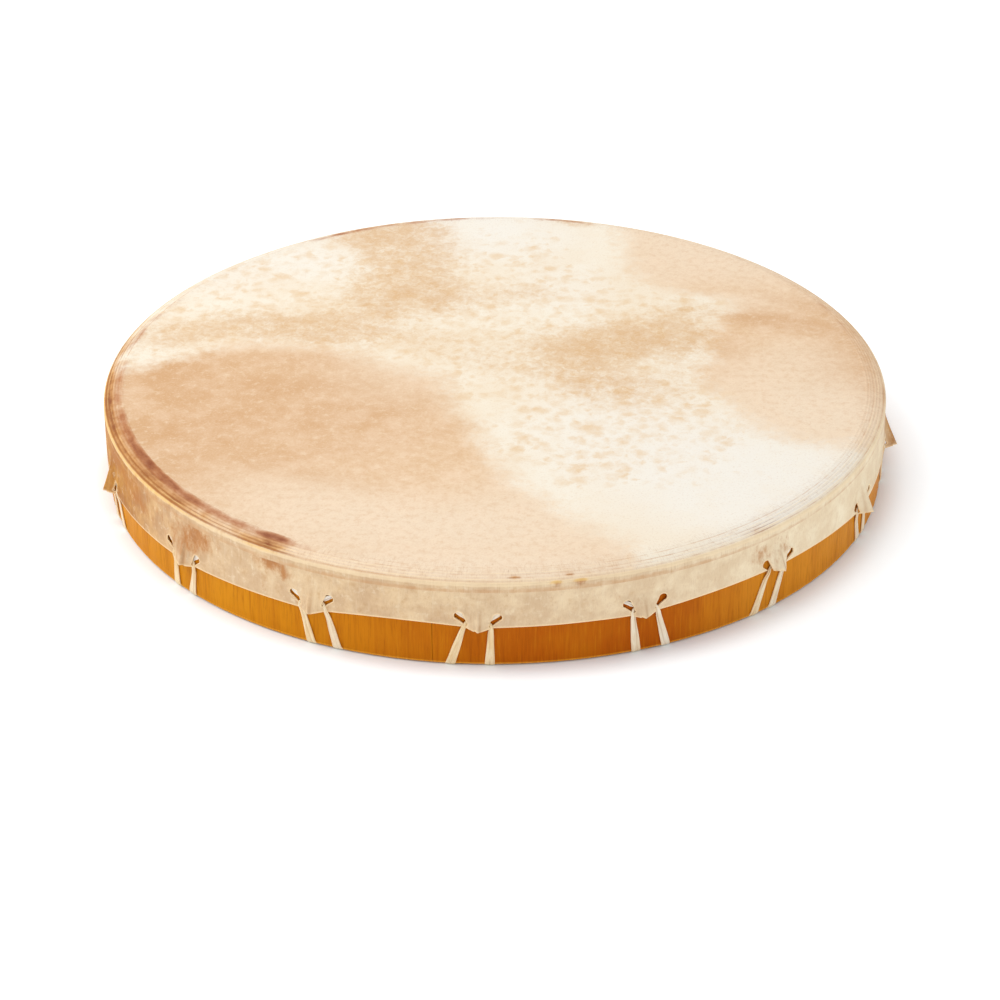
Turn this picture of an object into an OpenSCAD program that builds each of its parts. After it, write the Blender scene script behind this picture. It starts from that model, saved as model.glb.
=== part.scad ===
// Laced frame drum: a laminated wooden hoop, a rawhide head punched along its skirt,
// and rawhide laces that run under the hoop to a star of bound arms and a centre ring.
// Units are millimetres. The drum stands on z = 0 with its head up.

/* [Size] */
// Outside diameter over the rawhide
drum_d = 500; // [380:5:620]
// Height from the floor to the playing surface
drum_h = 60; // [50:1:90]
// Thickness of the rawhide
hide_t = 1; // [0.8:0.1:1.4]

/* [Hoop] */
// Thickness of each bent wooden strip
ply_t = 3; // [2.5:0.1:4]
// How far the top of the hoop falls from its inner to its outer edge
bevel_drop = 6.5; // [4:0.5:9]
// Gap left in each strip's scarf joint
scarf_gap = 0.3; // [0.2:0.05:0.6]

/* [Lacing] */
// Thickness of a lace where it lies on the hoop
lace_t = 1; // [0.8:0.1:1.2]
// Width of a lace at its foot, under the hoop
lace_w = 6; // [4:0.5:7]
// Usual height of the lacing holes' lower ends
hole_z = 30; // [29:0.5:33]
// How far the fold between two holes stands off the hoop
fold_out = 7.5; // [5:0.5:9]

/* [Star and ring] */
// Radius of the centre ring's middle line
ring_r = 25; // [24:1:32]
// Thickness of the ring's bar
ring_t = 5; // [4:0.5:6]
// Radius where the binding of each arm ends
bind_r = 118; // [90:1:130]

/* [Hidden] */
$fn = 96;
pairs = 16;
arms = 8;
pair_step = 360 / pairs;
arm_step = 360 / arms;
// Each row is one pair of holes, counted from the front: left hole, right hole, left foot
// and right foot, along the rim from the pair's even place.
lacing = [
    [-6.5, 8.5, -15.5, 7.5],
    [-6.5, 8.5, -3.5, 15.5],
    [-9, 4.5, -20, -5],
    [-10, 5.5, -4.7, 6],
    [-22, -7, -24, -10],
    [-8, 7, -2, 13],
    [-7.5, 7.5, -15, 2],
    [-8, 7.5, -1, 12.5],
    [-7, 8.5, -16, 3],
    [-8, 8, -4, 14],
    [-8, 7, -14, 0],
    [-7, 8, -1.5, 15],
    [-8, 8, -15.5, 1],
    [-19, -4, -8, 8.8],
    [-13, 6.5, -12.5, 2.5],
    [-9, 7, -2.5, 14.5],
];
// Height of the hide's cut edge at each pair, and its rise half way to the next pair
edge_z = [26, 26, 28, 21, 22, 25, 24.5, 26, 27, 25.5, 24, 24.5, 23, 19, 21.5, 24];
edge_rise = [0.8, 1.5, 1.6, 1.2, 1, 1.5, 2, 1, 0.8, 2, 1.2, 0.8, 1, 0.8, 0.8, 3.5];
// How far each pair's holes lie below the usual height
hole_drop = [0.8, 0, 1, 5.5, 3.5, 0.5, 0.8, 0, 1, 0, 1, 0, 2, 7.5, 5, 0.8];
// Where each strip's ends meet, from the outer strip inward
scarf_at = [-6.2, 118, -122, 74];

drum_r = drum_d / 2;
hoop_r = drum_r - hide_t;
ply_count = 4;
hoop_in = hoop_r - ply_t * ply_count;
hoop_t = ply_t * ply_count;
base_z = lace_t;
crest_z = drum_h - hide_t;
arm_z = 6;
bundle_w = 4.2;
bundle_t = 2.4;
wrap_r = ring_t / 2 + 1.1;
bind_in = ring_r + 9;
skirt_z = 17;
eps = 0.01;

hide = [0.93, 0.87, 0.75];
wood = [0.78, 0.5, 0.16];
lace_col = [0.9, 0.83, 0.67];
steel = [0.62, 0.62, 0.63];

// Directions at angle a from the front, turning towards +X: outward and along the rim
function out(a) = [sin(a), -cos(a), 0];
function along(a) = [cos(a), sin(a), 0];
up = [0, 0, 1];

// A place s millimetres along the rim from angle a, at radius r and height z
function rim(a, s, r, z) = r * out(a + s / hoop_r * 180 / PI) + z * up;
function rim_along(a, s) = along(a + s / hoop_r * 180 / PI);
function rim_out(a, s) = out(a + s / hoop_r * 180 / PI);

// Height of pair i's holes
function hole_at(i) = hole_z - hole_drop[i];

// Height and slope of the hoop's top at radius r
function top_z(r) = crest_z - bevel_drop * pow((r - hoop_in) / hoop_t, 1.8);
function top_slope(r) = -bevel_drop * 1.8 / hoop_t * pow((r - hoop_in) / hoop_t, 0.8);

// The hide's outer surface, square off the hoop's top at radius r
function over(r) = let (m = top_slope(r), l = sqrt(1 + m * m)) [r - m / l * hide_t, top_z(r) + hide_t / l];

// ---------------------------------------------------------------- hoop

module hoop_strip(i) {
    r2 = hoop_r - i * ply_t;
    r1 = r2 - ply_t;
    mid = (r1 + r2) / 2;
    difference() {
        rotate_extrude()
            polygon([[r1, base_z], [r2, base_z], [r2, top_z(r2)], [mid, top_z(mid)], [r1, top_z(r1)]]);
        // the scarf: the strip's ends meet on a long slant
        rotate([0, 0, scarf_at[i]])
            translate([0, -mid, drum_h / 2])
                rotate([0, 0, 35])
                    cube([scarf_gap, ply_t * 3, drum_h + 10], center = true);
    }
}

// ---------------------------------------------------------------- drumhead

// Places across the hoop's top where the hide bends: the edges and middles of the strips
steps = [for (k = [0:8]) k / 8];

module hide_shell() {
    outer = [for (k = steps) over(hoop_in + k * hoop_t)];
    inner = [for (k = [8:-1:0]) [hoop_in + steps[k] * hoop_t, top_z(hoop_in + steps[k] * hoop_t)]];
    rotate_extrude()
        polygon(concat(
            [[0, drum_h]], outer,
            [[drum_r, top_z(hoop_r) - 1], [drum_r, skirt_z], [hoop_r, skirt_z]], inner,
            [[0, crest_z]]
        ));
}

// Places a shape, drawn with x along the rim and y up, square on the rim at angle a
module on_rim(a, s = 0) {
    rotate([0, 0, a + s / hoop_r * 180 / PI])
        translate([0, -hoop_r, 0])
            rotate([90, 0, 0])
                children();
}

// Everything below the hide's cut edge between pair i and the next
module edge_cut(i) {
    span = 2 * PI * hoop_r / pairs;
    z1 = edge_z[i];
    z2 = edge_z[(i + 1) % pairs];
    r = span * span / 8 / edge_rise[i];
    tilt = atan((z2 - z1) / span);
    half = drum_r * (1 - cos(pair_step / 2));
    on_rim((i + 0.5) * pair_step)
        translate([-r * sin(tilt), (z1 + z2) / 2 + edge_rise[i] - r * cos(tilt), -half - 0.2])
            cylinder(r = r, h = half + 6, $fn = 240);
}

// One slanted lacing hole, its lower end towards the pair's middle
module lacing_hole(i, side) {
    s = lacing[i][side < 0 ? 0 : 1] + side * 0.9;
    lean = atan(3.3 / 5);
    on_rim(i * pair_step, s)
        translate([0, hole_at(i) + 1.2, -1]) {
            cylinder(r = 2.1, h = 4);
            rotate([0, 0, -side * lean]) {
                translate([-2.1, 0, 0])
                    cube([4.2, 6, 4]);
                translate([0, 6, 0])
                    cylinder(r = 2.1, h = 4);
            }
        }
}

function pair_mid(i) = (lacing[i][0] + lacing[i][1]) / 2;
function pair_half(i) = (lacing[i][1] - lacing[i][0]) / 2;

// The way between the holes, behind the fold
module fold_window(i) {
    h = pair_half(i);
    z = hole_at(i);
    side = [
        [0.7, z + 7.6], [h - 3.6, z + 4.7], [h - 0.9, z + 2.2], [h - 0.9, z - 0.4],
        [h - 2.4, z - 0.9], [h - 2.4, skirt_z - 1],
    ];
    on_rim(i * pair_step, pair_mid(i))
        translate([0, 0, -1])
            linear_extrude(height = 4)
                polygon(concat(side, [for (k = [5:-1:0]) [-side[k][0], side[k][1]]]));
}

// The hide gathered between two holes: a fold that leans out over its cut edge
module fold(i) {
    h = pair_half(i);
    a = i * pair_step;
    m = pair_mid(i);
    e = edge_z[i];
    z = hole_at(i);
    r = drum_r;
    line = [
        [0, z + 9, 0.2],
        [3.3 - h, z + 5, 0.3],
        [1.6 - h, z + 1, 3],
        [2 - h, e - 0.4, 0.6],
        [0, e - 2, fold_out],
        [h - 2, e - 0.4, 0.6],
        [h - 1.6, z + 1, 3],
        [h - 3.3, z + 5, 0.3],
    ];
    n = len(line);
    front = [for (p = line) rim(a, m + p[0], r + p[2], p[1])];
    back = [for (p = line) rim(a, m + p[0], r + p[2] - hide_t, p[1])];
    panels = [[0, 1, 4], [1, 2, 4], [2, 3, 4], [4, 5, 6], [4, 6, 7], [4, 7, 0]];
    polyhedron(
        points = concat(front, back),
        faces = concat(
            [for (p = panels) [p[2], p[1], p[0]]],
            [for (p = panels) [p[0] + n, p[1] + n, p[2] + n]],
            [for (k = [0:n - 1]) each [[k, (k + 1) % n, (k + 1) % n + n], [k, (k + 1) % n + n, k + n]]]
        )
    );
}

module drumhead() {
    color(hide)
        union() {
            difference() {
                hide_shell();
                for (i = [0:pairs - 1]) {
                    edge_cut(i);
                    lacing_hole(i, -1);
                    lacing_hole(i, 1);
                    fold_window(i);
                }
            }
            for (i = [0:pairs - 1])
                fold(i);
        }
}

// ---------------------------------------------------------------- laces

// A ribbon through a list of sections: middle, width direction, thickness direction,
// half width and half thickness
module ribbon(list) {
    n = len(list);
    polyhedron(
        points = [for (q = list) each [
            q[0] + q[1] * q[3] + q[2] * q[4],
            q[0] - q[1] * q[3] + q[2] * q[4],
            q[0] - q[1] * q[3] - q[2] * q[4],
            q[0] + q[1] * q[3] - q[2] * q[4],
        ]],
        faces = concat(
            [[0, 1, 2, 3]],
            [for (i = [0:n - 2], j = [0:3]) each let (k = (j + 1) % 4) [
                [4 * i + j, 4 * i + 4 + k, 4 * i + k],
                [4 * i + j, 4 * i + 4 + j, 4 * i + 4 + k],
            ]],
            [[4 * n - 1, 4 * n - 2, 4 * n - 3, 4 * n - 4]]
        )
    );
}

// A strand's place in the bundle of arm angle a, at radius r
function in_arm(a, r, col, row) = r * out(a) + col * bundle_w / 2 * along(a) + (arm_z + row * bundle_t / 2) * up;

// Half of a lace's trip over the rim, from the arm up to the hide's hole; g is +1 on the left
function climb(i, a, col, row, g, q) =
    let (
        f = i * pair_step,
        s = lacing[i][g > 0 ? 0 : 1],
        foot = lacing[i][g > 0 ? 2 : 3],
        inward = foot + (col < 0 ? 5 : -5),
        e = edge_z[i],
        z = hole_at(i),
        w = q * g,
        rise = (e - 3) / z,
        sit = hoop_r + 0.65 * lace_t,
        over_hide = drum_r + 0.6,
        s1 = foot + (s - foot) * rise
    )
    [
        [in_arm(a, bind_in, col, row), w * along(a), -q * up, 1.9, 1.05],
        [in_arm(a, bind_r, col, row), w * along(a), -q * up, 1.9, 1.05],
        [rim(f, inward, hoop_in - 0.5, lace_t / 2), w * rim_along(f, inward), -q * up, lace_w / 2, lace_t / 2],
        [rim(f, foot, sit, lace_t / 2), w * rim_along(f, foot), q * (rim_out(f, foot) - up) / sqrt(2),
            lace_w / 2, lace_t / sqrt(2)],
        [rim(f, s1, sit, e - 3), w * rim_along(f, s1), q * rim_out(f, s1), 2.1, lace_t / 2],
        [rim(f, s1 + (s - s1) * 0.4, over_hide, e - 0.6), w * rim_along(f, s), q * rim_out(f, s), 1.7, lace_t / 2],
        [rim(f, s, over_hide, z - 0.6), w * rim_along(f, s), q * rim_out(f, s), 1.5, lace_t / 2],
        [rim(f, s + g * 0.7, drum_r + 0.3, z + 0.4), (w * rim_along(f, s) - q * up) / sqrt(2), q * rim_out(f, s),
            1.4, 0.6],
        [rim(f, s + g * 2.2, drum_r + 0.1, z + 0.6), -q * up, q * rim_out(f, s), 1.3, 0.65],
    ];

function turned(list) = [for (k = [len(list) - 1:-1:0]) list[k]];

function trip(i, a, col, q) =
    let (m = pair_mid(i), f = i * pair_step)
    concat(
        climb(i, a, col, -1, 1, q),
        [[rim(f, m, drum_r + 0.5, hole_at(i) + 0.7), -q * up, q * rim_out(f, m), 1.3, 0.65]],
        turned(climb(i, a, col, 1, -1, q))
    );

// A turn over the centre ring, from its top through its eye to its underside
function ring_turn(a, off, g) = [
    let (b = a + off / ring_r * 180 / PI)
    for (k = [60:30:300])
        let (e = cos(k) * out(b) + sin(k) * up)
        [ring_r * out(b) + arm_z * up + wrap_r * e, -g * along(b), -g * e, 1.7, 0.8]
];

module lace(n) {
    i = (2 * n - 3 + pairs) % pairs;
    j = (i + 1) % pairs;
    a = (2 * n - 2.5) * pair_step;
    color(lace_col)
        ribbon(concat(
            ring_turn(a, -4.6, -1),
            trip(i, a, -1, 1),
            ring_turn(a, 0, 1),
            trip(j, a, 1, -1),
            ring_turn(a, 4.6, -1)
        ));
}

// ---------------------------------------------------------------- arms and ring

// A rounded rectangle
module pad(w, h, r) {
    square([w - 2 * r, h], center = true);
    square([w, h - 2 * r], center = true);
    for (x = [-1, 1], y = [-1, 1])
        translate([x * (w / 2 - r), y * (h / 2 - r)])
            circle(r = r);
}

module arm_binding(n) {
    a = (2 * n - 2.5) * pair_step;
    color(lace_col)
        rotate([0, 0, a])
            translate([0, -bind_in, arm_z])
                rotate([90, 0, 0])
                    linear_extrude(height = bind_r - bind_in - 1)
                        difference() {
                            pad(12, 8, 3);
                            square([8.6, 5.1], center = true);
                        }
}

module centre_ring() {
    color(steel)
        translate([0, 0, arm_z])
            rotate_extrude()
                translate([ring_r, 0])
                    circle(r = ring_t / 2);
}

color(wood) hoop_strip(0);  // hoop_strip_outer
color(wood) hoop_strip(1);  // hoop_strip_2
color(wood) hoop_strip(2);  // hoop_strip_3
color(wood) hoop_strip(3);  // hoop_strip_inner
drumhead();
centre_ring();
lace(1);  // lace_1
lace(2);  // lace_2
lace(3);  // lace_3
lace(4);  // lace_4
lace(5);  // lace_5
lace(6);  // lace_6
lace(7);  // lace_7
lace(8);  // lace_8
arm_binding(1);  // arm_binding_1
arm_binding(2);  // arm_binding_2
arm_binding(3);  // arm_binding_3
arm_binding(4);  // arm_binding_4
arm_binding(5);  // arm_binding_5
arm_binding(6);  // arm_binding_6
arm_binding(7);  // arm_binding_7
arm_binding(8);  // arm_binding_8
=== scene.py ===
"""Looks of a laced rawhide frame drum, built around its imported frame."""

import math
import random

import bpy
import numpy as np
from mathutils import Matrix, Vector


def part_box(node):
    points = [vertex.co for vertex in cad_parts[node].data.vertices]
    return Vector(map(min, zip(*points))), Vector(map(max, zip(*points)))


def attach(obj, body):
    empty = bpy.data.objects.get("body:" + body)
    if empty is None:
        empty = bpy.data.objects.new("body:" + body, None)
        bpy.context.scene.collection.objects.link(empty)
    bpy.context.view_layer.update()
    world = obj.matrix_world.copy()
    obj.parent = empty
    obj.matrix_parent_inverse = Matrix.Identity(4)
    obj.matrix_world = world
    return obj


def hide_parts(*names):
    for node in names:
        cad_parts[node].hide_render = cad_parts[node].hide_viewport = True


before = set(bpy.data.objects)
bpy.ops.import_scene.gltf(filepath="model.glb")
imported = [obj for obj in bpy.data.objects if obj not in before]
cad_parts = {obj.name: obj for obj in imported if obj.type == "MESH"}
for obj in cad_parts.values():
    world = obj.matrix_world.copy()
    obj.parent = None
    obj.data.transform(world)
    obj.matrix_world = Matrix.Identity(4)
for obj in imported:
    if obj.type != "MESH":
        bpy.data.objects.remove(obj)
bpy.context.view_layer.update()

MM = 0.001
BODY = "root"

# ---- sizes, in millimetres

outer_low, outer_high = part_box("hoop_strip_outer")
inner_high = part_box("hoop_strip_inner")[1]
ring_low, ring_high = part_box("centre_ring")
hoop_r = outer_high.x / MM
ply_t = hoop_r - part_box("hoop_strip_2")[1].x / MM
hoop_in = inner_high.x / MM - ply_t
hoop_t = hoop_r - hoop_in
base_z = outer_low.z / MM
crest_z = inner_high.z / MM
drum_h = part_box("drumhead")[1].z / MM
hide_t = drum_h - crest_z
drum_r = hoop_r + hide_t
bevel_drop = crest_z - outer_high.z / MM
bevel_power = 1.8
arm_z = (ring_low.z + ring_high.z) / 2 / MM
ring_t = (ring_high.z - ring_low.z) / MM
ring_r = ring_high.x / MM - ring_t / 2
lace_t = base_z
lace_w = 6.0
# heights of the holes, and of the bend from the hide's side to its top
hole_z = 30.0
bend_z = 50.2
bundle_w = 4.2
bundle_t = 2.4
bind_r = 118.0
bind_in = ring_r + 9
wrap_r = ring_t / 2 + 1.1

# Each row is one pair of holes, counted from the front: left hole, right hole, left foot
# and right foot, along the rim from the pair's even place
LACING = [
    (-6.5, 8.5, -15.5, 7.5), (-6.5, 8.5, -3.5, 15.5), (-9, 4.5, -20, -5), (-10, 5.5, -4.7, 6),
    (-22, -7, -24, -10), (-8, 7, -2, 13), (-7.5, 7.5, -15, 2), (-8, 7.5, -1, 12.5),
    (-7, 8.5, -16, 3), (-8, 8, -4, 14), (-8, 7, -14, 0), (-7, 8, -1.5, 15),
    (-8, 8, -15.5, 1), (-19, -4, -8, 8.8), (-13, 6.5, -12.5, 2.5), (-9, 7, -2.5, 14.5),
]
# Height of the hide's cut edge at each pair, and its rise half way to the next pair
EDGE_Z = np.array([26, 26, 28, 21, 22, 25, 24.5, 26, 27, 25.5, 24, 24.5, 23, 19, 21.5, 24])
EDGE_RISE = np.array([0.8, 1.5, 1.6, 1.2, 1, 1.5, 2, 1, 0.8, 2, 1.2, 0.8, 1, 0.8, 0.8, 3.5])
# How far each pair's fold stands off the hoop at the cut edge, and the height where it begins
FOLD_OUT = np.array([5.5, 5.5, 7.6, 8.6, 9.5, 6.0, 5.5, 6.5, 6.0, 7.0, 5.5, 6.5, 4.0, 8.2, 5.5, 5.5])
FOLD_TOP = np.array([41, 40, 44, 43, 45, 42, 41, 43, 42, 44, 41, 43, 45, 43, 42, 41])
# Where each fold's crease runs, from -1 at the left hole to 1 at the right
CREASE = np.array([
    -0.03, -0.16, -0.05, 0.1, -0.1, 0.2, -0.15, 0.1, -0.2, 0.15, 0.1, -0.1, 0.2, 0.1, 0.15, -0.12,
])
PAIRS = len(LACING)
STEP = 360 / PAIRS
SPAN = 2 * math.pi * hoop_r / PAIRS


def top_z(r):
    """Height of the hoop's top at radius r."""
    return crest_z - bevel_drop * np.clip((r - hoop_in) / hoop_t, 0, None) ** bevel_power


def out(a):
    """From the axis to the rim at turn a, in degrees from the front (-Y) towards +X."""
    return Vector((math.sin(math.radians(a)), -math.cos(math.radians(a)), 0))


def along(a):
    """Along the rim at turn a, towards greater turns."""
    return Vector((math.cos(math.radians(a)), math.sin(math.radians(a)), 0))


UP = Vector((0, 0, 1))


def clip01(value):
    """The value held between 0 and 1."""
    return np.clip(value, 0, 1)


def rim_angle(a, s):
    """The turn that lies s millimetres along the rim from turn a."""
    return a + math.degrees(s / hoop_r)


def rim(a, s, r, z):
    return out(rim_angle(a, s)) * r + UP * z


def pair_mid(i):
    return (LACING[i][0] + LACING[i][1]) / 2


def pair_half(i):
    return (LACING[i][1] - LACING[i][0]) / 2


# ---- camera, light and floor


def add_camera():
    """The camera looks down at the drum from the front, a little from its right."""
    distance, azimuth, elevation, roll = 1.942, math.radians(2.55), math.radians(29.21), -0.0043
    target = Vector((0, 0, base_z * MM))
    back = Vector((
        math.sin(azimuth) * math.cos(elevation),
        -math.cos(azimuth) * math.cos(elevation),
        math.sin(elevation),
    ))
    right = Vector((math.cos(azimuth), math.sin(azimuth), 0))
    upward = back.cross(right)
    x = right * math.cos(roll) + upward * math.sin(roll)
    y = back.cross(x)
    data = bpy.data.cameras.new("camera")
    data.lens = 107.16
    data.sensor_width = 36
    data.shift_x = 0.005
    data.shift_y = -0.0458
    data.clip_end = 20
    cam = bpy.data.objects.new("camera", data)
    bpy.context.scene.collection.objects.link(cam)
    place = [t + b * distance for t, b in zip(target, back)]
    cam.matrix_world = Matrix((*zip(x, y, back, place), (0, 0, 0, 1)))
    bpy.context.scene.camera = cam


def add_studio():
    """Even white surroundings, and one large lamp above the drum's left."""
    scene = bpy.context.scene
    scene.world = bpy.data.worlds.new("studio")
    scene.world.use_nodes = True
    background = scene.world.node_tree.nodes["Background"]
    background.inputs["Color"].default_value = (1, 1, 1, 1)
    background.inputs["Strength"].default_value = 0.76
    data = bpy.data.lights.new("key", "AREA")
    data.size = 1.9
    data.energy = 33
    data.color = (1, 0.99, 0.975)
    lamp = bpy.data.objects.new("key", data)
    scene.collection.objects.link(lamp)
    lamp.location = (-1.5, 0.1, 2.0)
    lamp.rotation_euler = (-Vector((-1.5, 0.1, 2.0))).to_track_quat("-Z", "Y").to_euler()
    scene.view_settings.view_transform = "Standard"
    scene.view_settings.look = "None"


# ---- node helpers


class Nodes:
    """A material's node tree, with short ways to make and join its nodes."""

    def __init__(self, name):
        self.material = bpy.data.materials.new(name)
        self.material.use_nodes = True
        self.tree = self.material.node_tree
        self.shader = self.tree.nodes["Principled BSDF"]

    def put(self, socket, value):
        """Links or sets a socket, or leaves it as it is for None."""
        if isinstance(value, bpy.types.NodeSocket):
            self.tree.links.new(value, socket)
        elif value is not None:
            if hasattr(socket.default_value, "__len__") and not hasattr(value, "__len__"):
                value = [value] * len(socket.default_value)
            if hasattr(value, "__len__") and len(socket.default_value) == 4 and len(value) == 3:
                value = (*value, 1)
            socket.default_value = value

    def new(self, kind, **values):
        """A new node, with those of its inputs linked or set."""
        n = self.tree.nodes.new("ShaderNode" + kind)
        for key, value in values.items():
            self.put(n.inputs[key], value)
        return n

    def math(self, kind, a, b):
        n = self.new("Math")
        n.operation = kind
        self.put(n.inputs[0], a)
        self.put(n.inputs[1], b)
        return n.outputs[0]

    def plus(self, a, b):
        return self.math("ADD", a, b)

    def minus(self, a, b):
        return self.math("SUBTRACT", a, b)

    def times(self, a, b):
        return self.math("MULTIPLY", a, b)

    def vector(self, kind, a, b=None, scale=None):
        n = self.new("VectorMath")
        n.operation = kind
        for k, v in ((0, a), (1, b), (3, scale)):
            self.put(n.inputs[k], v)
        return n.outputs["Value" if kind == "LENGTH" else "Vector"]

    def shifted(self, where, offset):
        return self.vector("ADD", where, offset)

    def attribute(self, name, vector=False):
        n = self.new("Attribute")
        n.attribute_name = name
        return n.outputs["Vector" if vector else "Fac"]

    def place(self):
        """The object's own coordinates, in millimetres."""
        return self.vector("SCALE", self.new("TexCoord").outputs["Object"], scale=1000)

    def split(self, v):
        n = self.new("SeparateXYZ", Vector=v)
        return n.outputs[0], n.outputs[1], n.outputs[2]

    def join(self, x, y, z):
        return self.new("CombineXYZ", X=x, Y=y, Z=z).outputs[0]

    def noise(self, where, size, detail=3, rough=0.55):
        """Noise from 0 to 1 whose blobs are about size millimetres across."""
        n = self.new("TexNoise", Vector=where, Scale=1 / size, Detail=detail, Roughness=rough)
        return n.outputs["Fac"]

    def cells(self, where, size):
        """Distance to the nearest cell's middle, and that cell's own random colour."""
        n = self.new("TexVoronoi", Vector=where, Scale=1 / size)
        return n.outputs["Distance"], n.outputs["Color"]

    def ramp(self, value, low, high, a=0.0, b=1.0):
        """A smooth step from a to b as value goes from low to high."""
        n = self.new("MapRange")
        n.interpolation_type = "SMOOTHSTEP"
        for key, v in (("Value", value), ("From Min", low), ("From Max", high), ("To Min", a), ("To Max", b)):
            self.put(n.inputs[key], v)
        return n.outputs[0]

    def mix(self, amount, a, b):
        """Colour a, with that amount of colour b mixed in."""
        n = self.new("Mix")
        n.data_type = "RGBA"
        for k, v in ((0, amount), (6, a), (7, b)):
            self.put(n.inputs[k], v)
        return n.outputs[2]

    def tint(self, colour, value, low, high, amount, other):
        """Up to that amount of another colour mixed in as value goes from low to high."""
        return self.mix(self.ramp(value, low, high, 0.0, amount), colour, other)

    def paint(self, colour, name, amount, other):
        """Up to that amount of another colour mixed in where the named attribute is 1."""
        return self.mix(self.times(self.attribute(name), amount), colour, other)

    def bump(self, height, strength, distance):
        return self.new("Bump", Strength=strength, Distance=distance * MM, Height=height).outputs[0]

    def finish(self, colour, rough, normal=None, specular=0.4, coat=0.0, coat_rough=0.2, sheen=0.0):
        for key, value in (
            ("Base Color", colour), ("Roughness", rough), ("Normal", normal),
            ("Specular IOR Level", specular), ("Sheen Weight", sheen),
            ("Coat Weight", coat), ("Coat Roughness", coat_rough),
        ):
            self.put(self.shader.inputs[key], value)
        return self.material


# How brightly the studio light falls on a level and on an upright surface; 1 leaves a colour as it is
ON_TOP = 1.07
ON_SIDE = 0.99


def shade(red, green, blue, light=ON_TOP):
    """A colour from 0 to 255 as it looks under the studio light, as the linear colour that a shader takes."""
    return tuple(
        ((v / 255 / 12.92) if v / 255 <= 0.04045 else ((v / 255 + 0.055) / 1.055) ** 2.4) / light
        for v in (red, green, blue)
    )


def upright(red, green, blue):
    """The same for a surface that stands upright."""
    return shade(red, green, blue, ON_SIDE)


def round_rim(n, where, squeeze):
    """Coordinates that run round the rim at full size and are squeezed up the hoop, for upright streaks."""
    x, y, z = n.split(where)
    flat = n.vector("NORMALIZE", n.join(x, y, 0.0))
    turned = n.vector("SCALE", flat, scale=hoop_r)
    tx, ty, _ = n.split(turned)
    return n.join(tx, ty, n.times(z, squeeze))


# ---- materials


def wood_material(name, shift):
    """Varnished bent wood: fine upright streaks on the hoop's face, and a pale painted highlight along its
    lower edge.
    """
    n = Nodes(name)
    where = n.shifted(n.place(), (shift, 0, 0))
    streak = n.shifted(round_rim(n, n.place(), 0.05), (shift, 0, shift))
    broad = n.noise(streak, 9, 3)
    fine = n.noise(streak, 1.3, 4, 0.7)
    hair = n.noise(streak, 0.45, 2, 0.6)
    cloud = n.noise(where, 50, 3)
    x, y, z = n.split(n.place())
    # The hoop's colour changes with the side it faces: lighter and yellower at the left, where the lamp
    # falls, darker brown at the front and right, lighter again at the far right; this change round the hoop
    # is painted light and shade
    side = n.ramp(n.plus(x, n.times(y, -0.25)), -250, 250)
    colour = n.mix(n.ramp(side, 0.16, 0.86), upright(212, 138, 16), upright(179, 86, 0))
    colour = n.tint(colour, side, 0.92, 1.0, 0.8, upright(222, 148, 36))
    colour = n.tint(colour, broad, 0.4, 0.7, 0.35, upright(166, 80, 2))
    colour = n.tint(colour, fine, 0.48, 0.75, 0.5, upright(142, 66, 2))
    colour = n.tint(colour, fine, 0.5, 0.3, 0.28, upright(214, 142, 24))
    colour = n.tint(colour, hair, 0.52, 0.8, 0.4, upright(130, 58, 2))
    colour = n.tint(colour, cloud, 0.4, 0.7, 0.35, upright(202, 124, 10))
    # painted highlight: a pale line along the hoop's lower edge, broken up by the fine streaks
    low = n.times(n.ramp(z, base_z + 1.3, base_z + 0.5), n.ramp(fine, 0.2, 0.6, 0.9, 0.5))
    colour = n.mix(low, colour, upright(240, 170, 60))
    height = n.plus(n.times(fine, 0.6), n.times(hair, 0.4))
    rough = n.ramp(fine, 0.3, 0.7, 0.4, 0.55)
    return n.finish(colour, rough, n.bump(height, 0.3, 0.2), specular=0.05, coat=0.02, coat_rough=0.3)


def lace_material(name, tint, shift):
    """Cut rawhide strip: fibres run along it, with darker scuffs, painted shade along each crease and a paler
    cut edge.
    """
    n = Nodes(name)
    run = n.attribute("run", vector=True)
    fibre = n.shifted(run, (shift, shift, 0))
    strands = n.noise(fibre, 0.5, 3, 0.6)
    long = n.noise(n.shifted(fibre, (9, 0, 0)), 1.3, 2)
    cloud = n.noise(n.shifted(n.place(), (shift, 0, 0)), 12, 3)
    colour = n.mix(n.ramp(cloud, 0.35, 0.7), tint, n.mix(0.6, tint, upright(236, 200, 142)))
    colour = n.tint(colour, long, 0.5, 0.7, 0.35, upright(214, 170, 110))
    colour = n.tint(colour, strands, 0.45, 0.75, 0.5, upright(202, 158, 104))
    colour = n.tint(colour, strands, 0.5, 0.3, 0.4, upright(254, 242, 216))
    colour = n.paint(colour, "pale", 0.8, upright(236, 234, 230))
    # painted shade along one side of each crease in the strip
    colour = n.paint(colour, "crease", 0.4, upright(176, 128, 78))
    colour = n.paint(colour, "edge", 0.5, upright(255, 226, 176))
    height = n.plus(strands, n.times(cloud, 0.5))
    rough = n.ramp(cloud, 0.2, 0.8, 0.5, 0.68)
    return n.finish(colour, rough, n.bump(height, 0.5, 0.2), specular=0.2, sheen=0.04)


def steel_material():
    n = Nodes("ring_steel")
    where = n.place()
    x, y, z = n.split(where)
    brushed = n.noise(n.join(x, y, n.times(z, 6.0)), 1.4, 3)
    wear = n.noise(where, 8, 3)
    colour = n.mix(n.ramp(wear, 0.35, 0.7), shade(186, 186, 188), shade(140, 138, 136))
    colour = n.tint(colour, brushed, 0.4, 0.7, 0.4, shade(112, 110, 108))
    n.shader.inputs["Metallic"].default_value = 1.0
    return n.finish(colour, n.ramp(wear, 0.3, 0.7, 0.28, 0.46), n.bump(brushed, 0.25, 0.1))


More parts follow.
